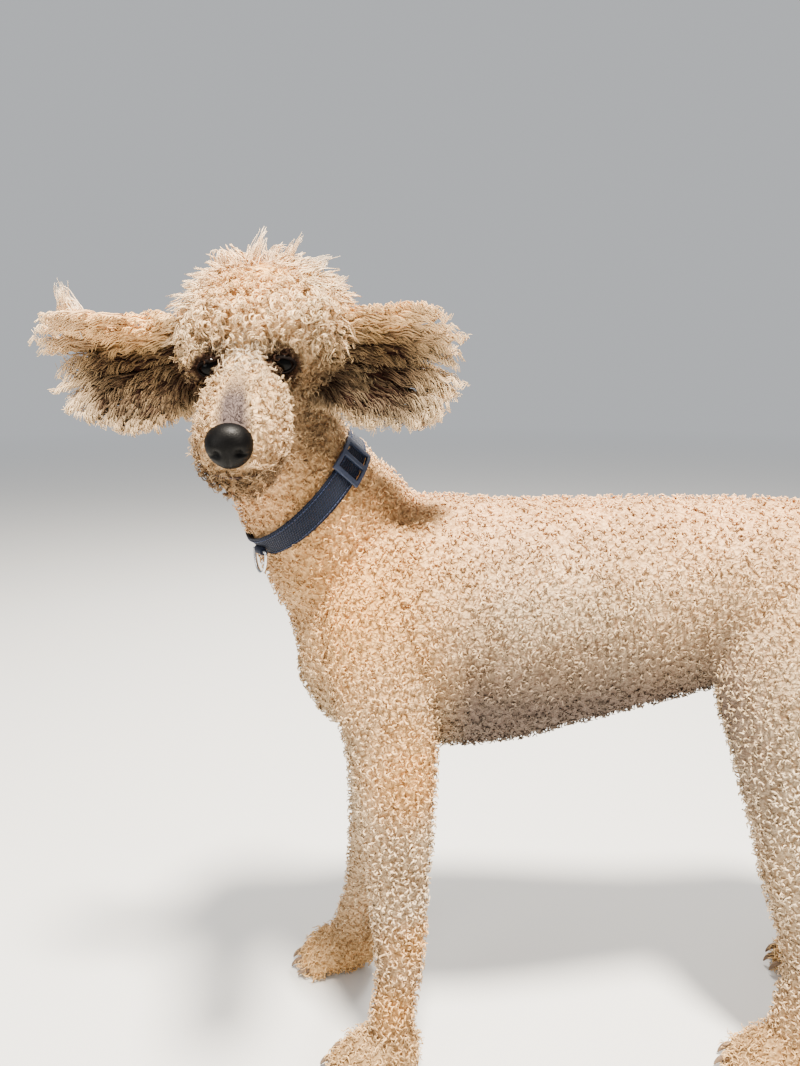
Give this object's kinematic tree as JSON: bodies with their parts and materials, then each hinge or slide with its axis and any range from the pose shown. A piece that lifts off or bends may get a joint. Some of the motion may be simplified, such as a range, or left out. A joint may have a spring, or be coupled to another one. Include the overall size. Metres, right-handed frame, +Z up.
{
  "type": "standard poodle",
  "caption": "Life-size standing poodle with a short curly coat, its head turned to its left, its ears blown out sideways, and a plain collar.",
  "frame": {"origin": "on the floor, under the middle of the bounding box", "axes": "+X towards the tail, along the body; +Y to the dog's right; +Z up"},
  "size_m": [0.8798, 0.3656, 0.8499],
  "materials": {
    "curly_coat": "rough",
    "nose_leather": "satin",
    "eye": "gloss",
    "claw": "satin",
    "webbing": "woven",
    "buckle_plastic": "satin",
    "ring_steel": "polished"
  },
  "bodies": {
    "root": {"collar_band": "webbing", "collar_buckle": "buckle_plastic", "collar_ring": "ring_steel", "ear_left": "curly_coat", "ear_right": "curly_coat", "eye_left": "eye", "eye_right": "eye", "foreleg_left": "curly_coat", "foreleg_right": "curly_coat", "forepaw_left": "curly_coat", "forepaw_left_claw_1": "claw", "forepaw_left_claw_2": "claw", "forepaw_left_claw_3": "claw", "forepaw_left_claw_4": "claw", "forepaw_right": "curly_coat", "forepaw_right_claw_1": "claw", "forepaw_right_claw_2": "claw", "forepaw_right_claw_3": "claw", "forepaw_right_claw_4": "claw", "head": "curly_coat", "hindpaw_left": "curly_coat", "hindpaw_left_claw_1": "claw", "hindpaw_left_claw_2": "claw", "hindpaw_left_claw_3": "claw", "hindpaw_left_claw_4": "claw", "hindpaw_right": "curly_coat", "hindpaw_right_claw_1": "claw", "hindpaw_right_claw_2": "claw", "hindpaw_right_claw_3": "claw", "hindpaw_right_claw_4": "claw", "hock_left": "curly_coat", "hock_right": "curly_coat", "neck": "curly_coat", "nose": "nose_leather", "shank_left": "curly_coat", "shank_right": "curly_coat", "tail": "curly_coat", "thigh_left": "curly_coat", "thigh_right": "curly_coat", "torso_chest": "curly_coat", "torso_loin": "curly_coat", "torso_rump": "curly_coat"}
  },
  "joints": []
}
